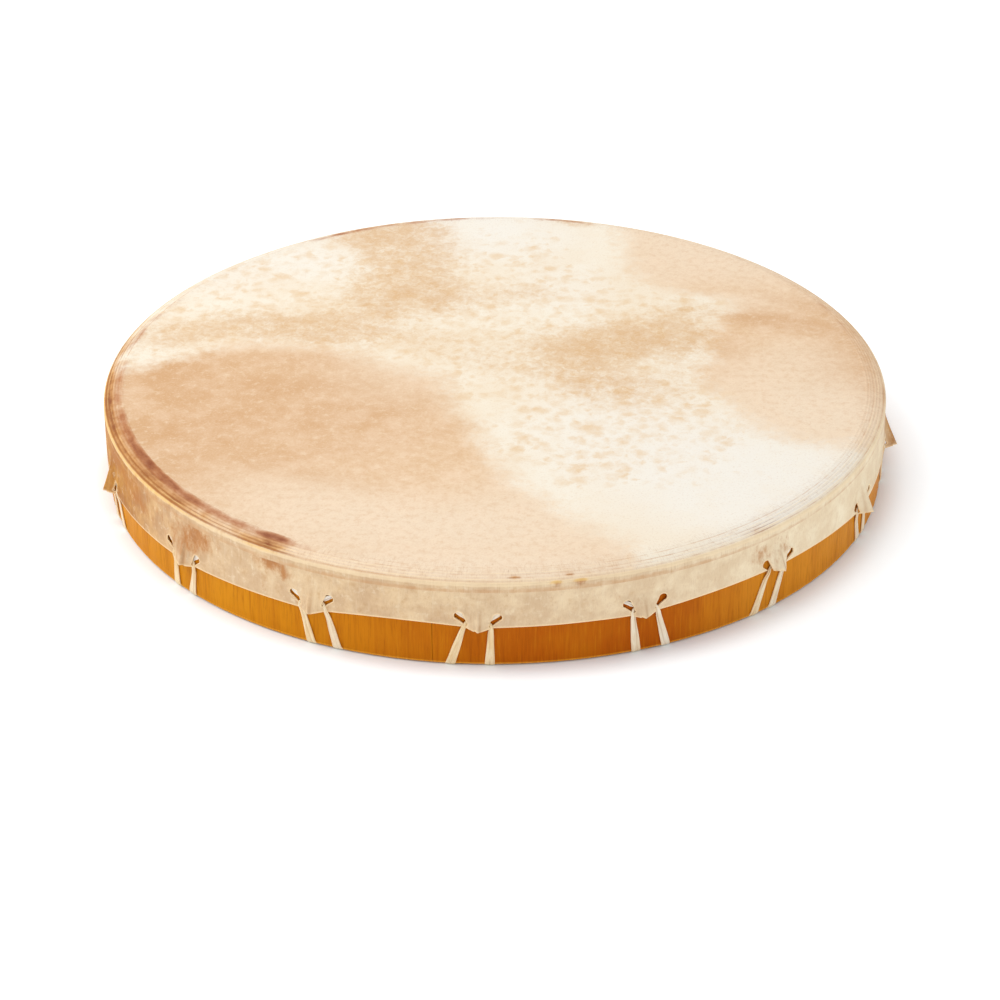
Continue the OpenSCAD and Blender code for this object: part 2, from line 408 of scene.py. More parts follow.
def floor_material():
    n = Nodes("floor_paper")
    tone = n.noise(n.place(), 300, 2)
    # The floor glows, painted light that keeps it white and its shadows soft; the glow fades to none under
    # the drum's edge, a painted contact shadow
    n.shader.inputs["Emission Color"].default_value = (0.98, 0.99, 1, 1)
    x, y, _ = n.split(n.place())
    away = n.vector("LENGTH", n.join(x, y, 0.0))
    n.put(n.shader.inputs["Emission Strength"], n.ramp(away, drum_r - 4, drum_r + 22, 0.0, 0.3))
    return n.finish(n.mix(tone, (0.89, 0.925, 0.955), (0.91, 0.945, 0.975)), 0.9, specular=0.1)


def add_floor():
    """A round sheet of pale paper under the drum, by radii in metres."""
    ring = 96
    verts = [(0, 0, 0)]
    angles = [2 * math.pi * k / ring for k in range(ring)]
    for r in (0.7, 2.0, 6.0):
        verts += [(r * math.cos(a), r * math.sin(a), 0) for a in angles]
    faces = [(0, 1 + k, 1 + (k + 1) % ring) for k in range(ring)]
    for a in (1, 1 + ring):
        b = a + ring
        faces += [(a + k, b + k, b + (k + 1) % ring, a + (k + 1) % ring) for k in range(ring)]
    make_object("floor", verts, faces, floor_material())


# ---- mesh helpers


def make_object(name, verts, faces, material, attributes=None, scale=1.0):
    """A smooth mesh object. attributes holds a float or a vector for each vertex, by name."""
    me = bpy.data.meshes.new(name)
    me.from_pydata([tuple(c * scale for c in v) for v in verts], [], [tuple(f) for f in faces])
    me.validate()
    for key, values in (attributes or {}).items():
        values = np.asarray(values, np.float32)
        kind = "FLOAT_VECTOR" if values.ndim == 2 else "FLOAT"
        field = "vector" if values.ndim == 2 else "value"
        me.attributes.new(key, kind, "POINT").data.foreach_set(field, values.ravel())
    me.materials.append(material)
    me.polygons.foreach_set("use_smooth", [True] * len(me.polygons))
    ob = bpy.data.objects.new(name, me)
    bpy.context.scene.collection.objects.link(ob)
    return ob


def wobble(turn, seed, waves=(3, 5, 9, 14), height=1.0):
    """A smooth random wave round the rim, the same at 0 and 360 degrees."""
    draw = random.Random(seed)
    total = 0
    for k in waves:
        total = total + math.sqrt(3 / k) * np.sin(k * np.radians(turn) + draw.uniform(0, 6.28))
    return height * total / len(waves)


def near_pair(turn):
    """The nearest pair's number and the place along the rim from its middle, for turns in degrees."""
    i = np.round(turn / STEP).astype(int)
    s = np.radians(turn - i * STEP) * hoop_r
    i = i % PAIRS
    return i, s - np.array([pair_mid(k) for k in range(PAIRS)])[i]


HALF = np.array([pair_half(k) for k in range(PAIRS)])


def edge_height(turn):
    """Height of the hide's cut edge: a shallow arch from each pair to the next."""
    k = np.floor(turn / STEP).astype(int)
    u = turn / STEP - k
    low, high = EDGE_Z[k % PAIRS], EDGE_Z[(k + 1) % PAIRS]
    arch = EDGE_RISE[k % PAIRS] * (1 - (2 * u - 1) ** 2)
    return low + (high - low) * u + arch + wobble(turn, 3, (23, 41, 67), 0.16)


# How far each pair's left and right hole lie below the usual height
DROP = np.array([
    (0.3, 1.3), (0, 0), (1.2, 1), (6, 5), (3.5, 3.5), (1, 0), (0, 1.5), (0.5, 0),
    (1.5, 1), (0, 0.5), (1, 1), (0, 0), (2, 2), (7.5, 7.5), (3.9, 6), (1.7, 0),
])
# The holes taper from a round upper end to a narrow lower end: place along the rim past the pair's
# half width, height and radius of each
HOLE_LOW = (-0.4, hole_z - 0.5, 0.9)
HOLE_HIGH = (3.6, hole_z + 5.0, 2.7)


def hole_distance(i, s, z):
    """Distance in millimetres from the outline of the pair's nearer hole, below 0 inside it."""
    x = np.abs(s) - HALF[i]
    z = z + DROP[i, (s > 0).astype(int)]
    dx, dz = HOLE_HIGH[0] - HOLE_LOW[0], HOLE_HIGH[1] - HOLE_LOW[1]
    t = clip01(((x - HOLE_LOW[0]) * dx + (z - HOLE_LOW[1]) * dz) / (dx * dx + dz * dz))
    away = np.hypot(x - HOLE_LOW[0] - t * dx, z - HOLE_LOW[1] - t * dz)
    return away - (HOLE_LOW[2] + (HOLE_HIGH[2] - HOLE_LOW[2]) * t)


def stand_off(turn, z):
    """How far the skirt stands off its plain cylinder: the folds, the lifted skin over each lace, slack."""
    i, s = near_pair(turn)
    top, low, crease = FOLD_TOP[i], EDGE_Z[i], CREASE[i]
    grow = np.clip((top - z) / (top - low), 0, 1.2)
    u = s / (HALF[i] + 0.2)
    tent = clip01(np.where(u < crease, (1 + u) / (1 + crease), (1 - u) / (1 - crease)))
    tuck = 1.1 * grow * np.exp(-(((u - crease) * np.sign(crease + 0.01) - 0.17) / 0.1) ** 2)
    fold = FOLD_OUT[i] * grow ** 1.15 * tent ** 0.8 - tuck * (tent > 0.3)
    draw = 0.16 * grow * np.sin(u * 17 + i * 2.1) * (np.abs(u) < 1.4) * clip01((z - low) / 6)
    hole = hole_distance(i, s, z)
    raised = clip01((z + DROP[i].mean(1) - hole_z - 0.5) / 3.5)
    over_lace = 0.85 * np.exp(-np.clip(hole, 0, None) ** 2 / 5) * raised
    lip = 0.25 * np.exp(-((hole - 0.4) / 0.5) ** 2)
    slack = 0.12 + wobble(turn, 11, (7, 11, 17, 29), 0.1) * clip01((50 - z) / 20)
    return np.clip(fold, 0, None) + over_lace + lip + draw + np.clip(slack, 0.06, None)


# ---- the hide's pattern, in millimetres

# Tan areas of the head, by their outlines, x to the right and y away from the front
TAN_LEFT = [
    (-234, 0), (-215, 10), (-190, 26), (-168, 40), (-136, 38), (-108, 34), (-85, 18), (-55, 4), (-34, -6),
    (-28, -34), (-17, -60), (-8, -85), (2, -110), (17, -136), (42, -166), (68, -196), (85, -213), (95, -250),
    (60, -300), (-80, -300), (-220, -220), (-300, -60), (-280, 0),
]
TAN_RIGHT = [
    (78, 250), (83, 200), (88, 160), (106, 132), (138, 120), (153, 106), (145, 85), (138, 60), (140, 34),
    (132, 13), (136, -10), (149, -30), (157, -51), (174, -72), (204, -85), (250, -82), (300, -60), (310, 150),
    (200, 290), (80, 310),
]
# Soft spots by attribute: middle x and y, half length, half width, lean in degrees, strength
SPOTS = {
    "deep": [
        (-215, -2, 36, 34, 10, 0.9), (-150, -26, 80, 20, 8, 0.75), (-183, -80, 44, 26, -10, 0.95),
        (-95, -60, 60, 22, 20, 0.7), (184, 84, 50, 16, -20, 0.8), (228, 34, 22, 50, -10, 0.6),
        (-195, -118, 50, 18, -50, 0.7), (-90, -100, 70, 12, 22, 0.45), (150, 40, 12, 30, 0, 0.35),
        (-130, 14, 50, 14, 0, 0.6), (-150, -56, 60, 9, 14, 0.5), (240, -10, 12, 40, 0, 0.5),
        (-120, -130, 50, 12, -20, 0.4), (205, 105, 36, 10, -30, 0.5), (-150, -70, 120, 84, 8, 0.5),
        (-196, -30, 50, 70, 0, 0.3),
    ],
    "faded": [
        (0, -195, 150, 40, 0, 0.9), (40, -150, 40, 50, -40, 0.7), (-100, -165, 60, 26, -20, 0.6),
        (205, -45, 50, 60, 10, 0.95), (20, -238, 150, 18, 0, 0.95), (203, -54, 40, 30, 0, 0.6),
        (160, -10, 26, 40, 0, 0.5), (120, 215, 80, 34, -30, 0.8), (150, 175, 60, 44, -30, 0.7),
        (100, 150, 30, 60, 0, 0.6), (-150, 42, 90, 14, 0, 0.6), (-60, 0, 50, 40, -20, 0.4),
        (150, 110, 36, 14, 0, 0.5), (195, 30, 30, 26, 0, 0.45),
    ],
    "cloud": [
        (74, 44, 66, 34, 26, 0.85), (108, 60, 40, 28, 10, 0.6), (64, -6, 44, 34, -25, 0.6),
        (92, -26, 34, 26, 0, 0.4), (18, 122, 24, 14, 0, 0.5), (-88, 214, 44, 26, 8, 0.9),
        (-76, 166, 34, 60, 6, 0.75), (-74, 106, 54, 36, 15, 0.7), (-150, 66, 50, 22, -14, 0.7),
        (-42, 176, 20, 50, 0, 0.5), (46, 236, 22, 10, -20, 0.7), (0, 50, 60, 20, 10, 0.35),
        (-104, 58, 60, 26, 0, 0.65), (128, 98, 24, 14, 0, 0.5), (-28, 112, 44, 28, -20, 0.45),
        (-212, 46, 40, 26, 20, 0.75), (-20, 20, 40, 20, -20, 0.4), (125, 20, 16, 50, 0, 0.4),
    ],
    "freckled": [
        (45, 85, 120, 74, -22, 1.0), (78, -70, 80, 56, -30, 1.0), (20, 10, 84, 50, -30, 0.9),
        (-172, 128, 66, 60, 20, 0.9), (-140, 62, 90, 30, -10, 0.95), (22, 178, 20, 50, 0, 0.95),
        (-60, 130, 60, 90, 0, 0.8), (128, -45, 40, 32, 0, 0.95), (-205, 70, 40, 30, 50, 0.9),
        (130, 130, 46, 20, -30, 0.6), (50, -110, 40, 30, -40, 0.85), (-190, 20, 60, 20, 20, 0.7),
    ],
    "white": [
        (135, -125, 92, 70, -42, 1.0), (70, -60, 50, 64, -25, 0.5), (-8, 212, 60, 44, 0, 0.9),
        (-190, 150, 50, 40, 35, 0.6), (180, -125, 44, 54, -30, 0.8), (-238, -30, 10, 30, 0, 0.3),
        (-30, 240, 60, 20, 0, 0.7), (40, 130, 40, 40, 0, 0.4), (-130, 170, 30, 40, 0, 0.6),
    ],
}


def smooth_outline(points, parts=6):
    """A closed curve through the points."""
    p = np.array(points, float)
    a, b, c, d = (np.roll(p, k, 0)[:, None, :] for k in (1, 0, -1, -2))
    t = np.linspace(0, 1, parts, endpoint=False)[None, :, None]
    curve = b + 0.5 * t * (c - a + t * (2 * a - 5 * b + 4 * c - d + t * (3 * (b - c) + d - a)))
    return curve.reshape(-1, 2)


def inside_by(outline, x, y):
    """Distance inside a closed outline, below 0 outside it."""
    p = smooth_outline(outline)
    q = np.roll(p, -1, 0)
    near = np.full(len(x), 1e9)
    within = np.zeros(len(x), bool)
    for (x1, y1), (x2, y2) in zip(p, q):
        dx, dy = x2 - x1, y2 - y1
        t = clip01(((x - x1) * dx + (y - y1) * dy) / (dx * dx + dy * dy + 1e-9))
        near = np.minimum(near, np.hypot(x - x1 - t * dx, y - y1 - t * dy))
        if y1 != y2:
            within ^= ((y1 > y) != (y2 > y)) & (x < x1 + (y - y1) / (y2 - y1) * dx)
    return np.where(within, near, -near)


def spots(listed, x, y):
    """How strongly each place lies in a list of soft spots, from 0 to 1."""
    clear = np.ones(len(x))
    for cx, cy, long, wide, lean, strength in listed:
        c, s = math.cos(math.radians(lean)), math.sin(math.radians(lean))
        u, v = ((x - cx) * c + (y - cy) * s) / long, ((y - cy) * c - (x - cx) * s) / wide
        clear *= 1 - strength * np.exp(-0.9 * (u * u + v * v) ** 1.3)
    return 1 - clear


def bell(value, middle, reach):
    return np.exp(-(((value - middle) / reach) ** 2))


# The hide's under is the hoop's radius below it; off the hoop's top, one of these stands for it
ON_SKIRT = 300.0
ON_HEAD = 0.0
# Stains by how strong they are, and where their middle lies and how far they reach in degrees round
# the drum; those on the side also by height and reach in millimetres
STAIN_BAND = [
    (0.62, -76, 18), (1.15, -56, 11), (0.7, -40, 6), (0.95, -29.5, 4.5), (0.75, -152, 9), (0.6, -168, 8),
    (0.7, 170, 5), (0.35, -108, 12), (0.3, 112, 10), (0.22, 40, 8),
]
STAIN_GOLDEN = [(0.55, -86, 22), (0.45, -50, 16)]
STAIN_LOWER = [(0.7, -78, 14), (0.6, -54, 10), (0.9, -30.5, 4), (0.4, 42, 4)]
STAIN_SIDE = [
    (1.0, -29.0, 2.8, 50, 6.5), (0.65, -27.0, 1.0, 42, 6), (0.4, -30.5, 0.9, 33, 6),
    (0.8, -42.5, 3.6, 47, 8), (0.6, -45, 4.0, 36, 8), (0.6, -68, 14, 48, 9), (0.5, 41.5, 2.0, 43, 8),
    (0.5, 45.5, 1.6, 40, 9), (0.3, 130, 9, 46, 9), (0.35, -140, 12, 45, 9), (0.25, 175, 7, 44, 9),
    (0.5, -58, 6, 38, 9), (0.2, 20, 5, 38, 8),
]


def rim_stain(turn, z, under):
    """Red-brown staining on the rim and the top of the side, mostly at the drum's left."""
    t = (turn + 180) % 360 - 180

    def listed(stains):
        return sum(high * bell(t, at, wide) for high, at, wide in stains)

    inner = bell(under, 240.0, 3.6) * listed(STAIN_BAND)
    golden = bell(under, 246.5, 3.4) * listed(STAIN_GOLDEN)
    outer = golden + bell(under, 246.5, 2.6) * listed(STAIN_LOWER)
    specks = 0.85 * bell(under, 245.5, 1.3) * listed([(1, 5, 0.8), (0.6, 12.5, 0.6)])
    specks = specks + 0.8 * bell(under, 249.6, 0.8) * listed([(1, 10.5, 0.7), (1, 13.8, 0.9)])
    side = sum(high * bell(t, at, wide) * bell(z, up, tall) for high, at, wide, up, tall in STAIN_SIDE)
    side = (under == ON_SKIRT) * side
    return clip01(inner + outer + specks + side)


def side_tone(turn):
    """From 0 where the side is ivory to 1 where it is pinkish brown, at the drum's left; a narrow rise at 87
    degrees is painted shade on the fold there.
    """
    t = (turn + 180) % 360 - 180
    left = 0.72 * bell(t, -72, 22) + 0.1 * bell(t, -15, 14)
    # the bell at 87 degrees is painted shade on that fold
    return clip01(0.4 + left - 0.36 * bell(t, 58, 34) + 0.7 * bell(t, 87, 2.6))


def centred(n, value, size):
    """A noise value moved to swing evenly round 0, times size."""
    return n.times(n.minus(value, 0.5), size)


def add_freckles(n, colour, where, small):
    """Soft orange freckles in clusters, crowded where the hide is freckled."""
    drift = n.join(n.noise(where, 7, 2), n.noise(n.shifted(where, (40, 9, 2)), 7, 2), 0.0)
    bent = n.vector("ADD", where, n.vector("SCALE", drift, scale=9))
    freckled = n.plus(n.attribute("freckled"), centred(n, n.noise(where, 30, 2), 0.8))
    for size, gap, depth in ((13.0, 0.0, 0.6), (10.0, 4.0, 0.6), (7.5, 9.0, 0.5), (5.5, 17.0, 0.4)):
        away, own = n.cells(n.shifted(bent, (gap * 7, gap * 3, gap)), size)
        pick, grow, strength = n.split(own)
        likely = n.plus(pick, n.times(freckled, 0.95))
        chosen = n.ramp(n.minus(likely, 0.95), 0, 0.5)
        reach = n.plus(n.times(grow, 0.2), 0.16)
        edge = n.minus(away, centred(n, small, 0.4))
        dot = n.ramp(edge, n.plus(reach, 0.34), n.minus(reach, 0.3))
        dot = n.times(dot, chosen)
        dot = n.times(dot, n.ramp(strength, 0, 1, depth * 0.45, depth * 1.2))
        colour = n.mix(dot, colour, shade(233, 198, 152))
    return colour, bent


def hide_material():
    """Dried rawhide: cream with tan clouds and freckles, stretched pores over the rim, stained edge."""
    n = Nodes("rawhide_head")
    where = n.place()
    pores_at = n.attribute("pore", vector=True)
    rings_at = n.attribute("rings", vector=True)
    fine = n.noise(where, 1.3, 3, 0.65)
    small = n.noise(where, 5, 5, 0.65)
    medium = n.noise(where, 17, 6, 0.65)
    broad = n.noise(where, 60, 4, 0.6)
    ragged = n.plus(centred(n, medium, 40), centred(n, small, 26))

    colour = n.mix(n.ramp(broad, 0.35, 0.65), shade(246, 231, 207), shade(249, 240, 222))
    colour = n.tint(colour, small, 0.5, 0.72, 0.25, shade(245, 226, 198))
    white = n.times(n.attribute("white"), n.ramp(medium, 0.3, 0.6, 0.75, 1.0))
    colour = n.mix(white, colour, shade(247, 242, 232))
    colour, bent = add_freckles(n, colour, where, small)

    # tan areas, deeper in places and faded in others
    tan = n.ramp(n.plus(n.attribute("tan"), ragged), -15, 15)
    tan_colour = n.mix(n.ramp(medium, 0.3, 0.7), shade(243, 214, 182), shade(232, 198, 160))
    leather = n.times(n.ramp(small, 0.3, 0.65, 0.75, 1.0), n.ramp(medium, 0.3, 0.66, 0.7, 1.15))
    deep = n.times(n.attribute("deep"), leather)
    tan_colour = n.mix(n.times(deep, 0.68), tan_colour, shade(207, 156, 106))
    faded = n.times(n.attribute("faded"), n.ramp(medium, 0.25, 0.6, 0.6, 1.0))
    tan_colour = n.mix(n.times(faded, 0.75), tan_colour, shade(247, 230, 207))
    tan_colour = n.tint(tan_colour, small, 0.5, 0.72, 0.5, shade(247, 223, 192))
    tan_colour = n.tint(tan_colour, small, 0.56, 0.3, 0.28, shade(214, 168, 122))
    colour = n.mix(tan, colour, tan_colour)

    # brown-grey clouds broken up by pale flecks
    cloud = n.attribute("cloud")
    torn = n.plus(cloud, n.plus(centred(n, medium, 0.8), centred(n, small, 0.9)))
    torn = n.ramp(torn, 0.1, 0.95)
    flecks = n.noise(n.shifted(bent, (3, 5, 0)), 3.4, 4, 0.62)
    torn = n.times(torn, n.ramp(flecks, 0.68, 0.38, 0.25, 1.0))
    colour = n.mix(n.times(torn, 0.62), colour, shade(223, 181, 130))
    grains = n.ramp(n.noise(bent, 2.4, 3), 0.55, 0.7, 0.0, 0.5)
    colour = n.mix(n.times(n.ramp(cloud, 0.1, 0.7), grains), colour, shade(252, 240, 216))
    dusk = n.ramp(n.plus(cloud, centred(n, n.noise(bent, 11, 4), 1.2)), 0.45, 1.1, 0.0, 0.5)
    colour = n.mix(dusk, colour, shade(218, 174, 124))
    colour = n.tint(colour, fine, 0.5, 0.75, 0.22, shade(206, 160, 112))
    colour = n.tint(colour, fine, 0.5, 0.28, 0.22, shade(253, 236, 210))

    # the side and the rim, with pores drawn out by the pull of the lacing
    side = n.attribute("side")
    tone = n.attribute("tone")
    light = n.mix(tone, upright(250, 236, 206), upright(204, 150, 78))
    skirt = n.mix(tone, upright(236, 215, 181), upright(168, 108, 44))
    skirt = n.mix(n.ramp(medium, 0.35, 0.7), skirt, light)
    mottle = n.times(n.ramp(small, 0.5, 0.75, 0.0, 0.42), n.ramp(tone, 0.0, 0.6, 0.3, 1.0))
    skirt = n.mix(mottle, skirt, upright(190, 144, 92))
    skirt = n.tint(skirt, small, 0.45, 0.3, 0.35, upright(246, 230, 200))
    colour = n.mix(side, colour, skirt)
    drawn = n.noise(pores_at, 0.5, 3, 0.6)
    streaks = n.noise(pores_at, 2.2, 3, 0.6)
    rim = n.attribute("rim")
    pore = n.times(n.ramp(drawn, 0.5, 0.78), rim)
    colour = n.mix(n.times(pore, 0.32), colour, shade(168, 112, 66))
    pulled = n.times(n.ramp(streaks, 0.48, 0.3), n.times(rim, 0.16))
    colour = n.mix(pulled, colour, shade(255, 242, 216))
    # painted highlight along the ridge tops and painted shade in the hollows between them
    hooped = n.noise(rings_at, 1.3, 3, 0.6)
    ridge = n.attribute("ridge")
    line = n.plus(ridge, centred(n, hooped, 1.3))
    band = n.attribute("band")
    raised = n.times(n.ramp(line, 0.35, 1.0, 0.0, 0.6), band)
    colour = n.mix(raised, colour, shade(255, 230, 190))
    sunk = n.times(n.ramp(line, -0.05, -0.7, 0.0, 0.5), band)
    colour = n.mix(sunk, colour, shade(206, 150, 100))

    # stains, and the pale cut edges, partly the cut hide's own colour and partly a painted highlight
    stain = n.attribute("stain")
    on_band = centred(n, n.noise(n.vector("MULTIPLY", rings_at, (2.2, 2.2, 0.6)), 4.5, 4, 0.6), 1.5)
    on_skirt = centred(n, n.noise(n.vector("MULTIPLY", pores_at, (1, 1, 3.2)), 5.0, 5, 0.72), 2.0)
    blot = n.ramp(n.plus(stain, n.mix(side, on_band, on_skirt)), 0.15, 0.9)
    blot = n.times(blot, n.ramp(stain, 0.02, 0.2))
    golden = n.attribute("golden")
    stain_colour = n.mix(golden, shade(182, 110, 62), shade(208, 146, 76))
    stain_colour = n.mix(side, stain_colour, upright(180, 114, 54))
    colour = n.mix(n.times(blot, 0.8), colour, stain_colour)
    core = n.ramp(n.plus(stain, n.mix(side, on_band, centred(n, small, 1.7))), 0.65, 1.35, 0.0, 0.9)
    core = n.times(core, n.minus(1.0, n.times(side, 0.7)))
    colour = n.mix(core, colour, shade(132, 64, 38))
    # the same painted highlight on the ridge tops and painted shade between them, again over the golden stain
    golden = n.times(golden, n.ramp(stain, 0.08, 0.45))
    line = n.plus(ridge, centred(n, hooped, 0.8))
    groove_shade = n.times(n.ramp(line, 0.25, -0.35, 0.0, 0.6), golden)
    colour = n.mix(groove_shade, colour, shade(158, 94, 42))
    crest = n.times(n.ramp(line, 0.5, 1.0, 0.0, 0.75), golden)
    colour = n.mix(crest, colour, shade(246, 204, 132))
    # pale cut edges, partly their own colour and partly painted highlight
    colour = n.paint(colour, "cut", 0.85, upright(255, 226, 180))
    # painted shade next to each fold's crease
    colour = n.paint(colour, "tuck", 0.5, upright(170, 120, 74))

    height = n.plus(n.times(fine, 0.5), n.times(small, 0.7))
    height = n.plus(height, n.times(n.times(drawn, rim), -1.1))
    return n.finish(colour, n.ramp(medium, 0.3, 0.7, 0.54, 0.68), n.bump(height, 0.4, 0.25), specular=0.08)


# ---- drumhead

# How far left and right of a pair's even place the rim's columns are close together
FINE_LEFT = 28.0
FINE_RIGHT = 17.0
COLUMNS = 112
SKIRT_ROWS = 46


def rim_turns():
    """The turn of every column round the rim, close together near the pairs."""
    close = np.arange(-FINE_LEFT, FINE_RIGHT + 0.01, 0.5)
    rest = np.linspace(FINE_RIGHT, SPAN - FINE_LEFT, COLUMNS - len(close) + 2)[1:-1]
    one = np.degrees(np.concatenate([close, rest]) / hoop_r)
    return np.concatenate([one + k * STEP for k in range(PAIRS)])


def hide_profile():
    """The hide's outside over the hoop, from crest to skirt: radius, height and hoop radius below."""
    def over(r):
        m = -bevel_drop * bevel_power / hoop_t * ((r - hoop_in) / hoop_t) ** (bevel_power - 1)
        length = math.hypot(1, m)
        return r - m / length * hide_t, float(top_z(r)) + hide_t / length

    rows = [(*over(r), r) for r in np.arange(hoop_in, hoop_r - 0.4, 0.4)]
    r1, z1, _ = rows[-1]
    for k in range(1, 9):
        t = k / 8
        r = (1 - t) ** 2 * r1 + 2 * t * (1 - t) * drum_r + t * t * drum_r
        z = (1 - t) ** 2 * z1 + 2 * t * (1 - t) * (z1 - 0.5) + t * t * bend_z
        rows.append((r, z, hoop_r - 0.4 + 2.4 * t))
    return rows


# Each ridge's place across the hoop's top, height and half width
RIDGES = [
    (237.9, 0.12, 0.45), (239.6, 0.14, 0.45), (241.3, 0.16, 0.45), (243.1, 0.22, 0.5), (245.0, 0.2, 0.5),
    (246.8, 0.24, 0.5), (249.4, 0.46, 0.65),
]


def ridge_height(turn, under):
    """The hide rides up over each strip's edge in low ridges, and in a bead at the bend."""
    total = 0
    for k, (at, high, wide) in enumerate(RIDGES):
        drift = wobble(turn, 50 + k, (2, 3, 5), 0.3)
        swell = high * (1 + wobble(turn, 60 + k, (4, 7, 11), 0.45))
        total = total + swell * np.exp(-((under - at - drift) / wide) ** 2)
    return total


def head_rings():
    """Radii of the head's flat part, from the rim inward, and how many columns are merged at each."""
    rings = [(r, 1) for r in (236.3, 235.2, 233.5, 231)]
    r, merge = 228.0, 1
    while r > 6:
        rings.append((r, merge))
        r -= 4
        merge = 2 ** sum(r <= reach for reach in (205, 130, 70, 36, 16))
    return rings


def build_drumhead():
    turns = rim_turns()
    count = len(turns)
    rows, starts, merges = [], [], []

    def add_ring(turn, r, z, under, merge):
        starts.append(sum(len(row[0]) for row in rows))
        merges.append(merge)
        rows.append([np.full(turn.shape, v, float) for v in (turn, r, z, under)])

    # skirt, from its cut edge up
    low = edge_height(turns)
    for v in np.linspace(0, 1, SKIRT_ROWS, endpoint=False):
        add_ring(turns, drum_r, low + (bend_z - low) * v, ON_SKIRT, 1)
    for r, z, under in reversed(hide_profile()):
        add_ring(turns, r, z, under, 1)
    for r, merge in head_rings():
        add_ring(turns[::merge], r, drum_h, ON_HEAD, merge)

    turn, r, z, under = (np.concatenate(values) for values in zip(*rows))

    # faces, ring by ring
    faces = []
    for row in range(len(starts) - 1):
        a, b, n = starts[row], starts[row + 1], count // merges[row]
        if merges[row + 1] == merges[row]:
            faces += [(a + k, a + (k + 1) % n, b + (k + 1) % n, b + k) for k in range(n)]
        else:
            for k in range(n // 2):
                o0, o1, o2 = a + 2 * k, a + 2 * k + 1, a + (2 * k + 2) % n
                i0, i1 = b + k, b + (k + 1) % (n // 2)
                faces += [(o0, o1, i0), (o1, i1, i0), (o1, o2, i1)]
    last, n = starts[-1], count // merges[-1]
    centre = len(turn)
    faces += [(last + k, last + (k + 1) % n, centre) for k in range(n)]
    turn, r, z, under = (np.append(v, w) for v, w in ((turn, 0), (r, 0), (z, drum_h), (under, ON_HEAD)))

    # holes: drop the faces inside them and draw the rest of the border onto the outline
    skirt = under == ON_SKIRT
    i, s = near_pair(turn)
    quads = np.array([f for f in faces if len(f) == 4])
    others = [f for f in faces if len(f) == 3]
    middle_s, middle_z = s[quads].mean(1), z[quads].mean(1)
    in_skirt = skirt[quads].all(1)
    one_pair = (i[quads] == i[quads[:, :1]]).all(1)
    inner = in_skirt & one_pair & (hole_distance(i[quads[:, 0]], middle_s, middle_z) < 0)
    kept, dropped = quads[~inner], quads[inner]
    border = np.intersect1d(kept.ravel(), dropped.ravel())
    shift_s, shift_z = np.zeros(len(turn)), np.zeros(len(turn))
    for _ in range(5):
        bs, bz = s[border] + shift_s[border], z[border] + shift_z[border]
        d = hole_distance(i[border], bs, bz)
        gs = (hole_distance(i[border], bs + 0.05, bz) - d) / 0.05
        gz = (hole_distance(i[border], bs, bz + 0.05) - d) / 0.05
        steep = np.hypot(gs, gz)
        flat = steep < 0.5  # on the hole's own axis, where every way out is as near
        gs, gz = np.where(flat, 0.0, gs / (steep + 1e-9)), np.where(flat, -1.0, gz / (steep + 1e-9))
        step = np.clip(d, -1.0, 1.0)
        shift_s[border] -= step * gs
        shift_z[border] -= step * gz
    turn = turn + np.degrees(shift_s / hoop_r)
    z = z + shift_z
    s = s + shift_s
    gap = np.where(skirt, hole_distance(i, s, z), 9.0)

    # the surface itself
    sine, cosine = np.sin(np.radians(turn)), np.cos(np.radians(turn))
    flat_x, flat_y = sine * r, -cosine * r
    push = np.where(skirt, stand_off(turn, z), 0.0)
    band = (under != ON_SKIRT) & (under != ON_HEAD)
    ridge = np.where(band, ridge_height(turn, under), 0.0)
    slope = np.clip((under - hoop_in) / hoop_t, 0, 1.15) ** 1.1
    lean = np.radians(np.where(band, 88 * clip01(slope), 0))
    join = np.where(band, clip01((under - 246) / 4) * 0.12, 0.0)
    r_out = r + push + join + ridge * np.sin(lean)
    z_out = z + ridge * np.cos(lean)
    x, y = sine * r_out, -cosine * r_out
    sag = 0.10 * np.cos(clip01(r / hoop_in) * math.pi / 2)
    z_out = z_out - np.where(r < hoop_in, sag, 0)

    used = np.isin(np.arange(len(turn)), [*kept.ravel(), *np.array(others).ravel()])
    number = np.cumsum(used) - 1
    faces = [tuple(number[list(f)]) for f in [*kept, *others]]

    depth = np.where(skirt, 15 + (bend_z - z), np.where(band, under - hoop_in, r - hoop_in))
    pore = np.stack([sine * drum_r, -cosine * drum_r, depth * 0.16], 1)
    rings = np.stack([sine * 34, -cosine * 34, np.where(band, under, r)], 1)
    on_side = np.where(skirt, 1.0, np.where(band, clip01((under - 245) / 4.5) ** 2, 0.0))
    rim_part = np.where(skirt, 0.62, np.where(band, 1.0, clip01((r - 231) / 5)))
    # the pale cut edges: partly the cut hide's own colour, partly a painted highlight along each edge
    near_edge = bell(np.clip(z - edge_height(turn), 0, None), 0.0, 0.75)
    near_hole = bell(np.clip(gap, 0, None), 0.0, 0.45)
    near_cut = np.where(skirt, np.maximum(near_edge, near_hole), 0.0)
    # painted highlight along the ridge tops and painted shade in the hollows between them
    line = np.where(band, clip01(ridge / 0.3), 0.0)
    # painted shadow on the skirt just under the bead at the bend
    shadow_under_bead = np.where(skirt, -0.12 * bell(z, bend_z + 0.3, 0.8), 0.0)
    dip_shade = np.where(band, -0.5 * clip01(1 - ridge / 0.06) * clip01((under - 237.5) / 2), 0.0)
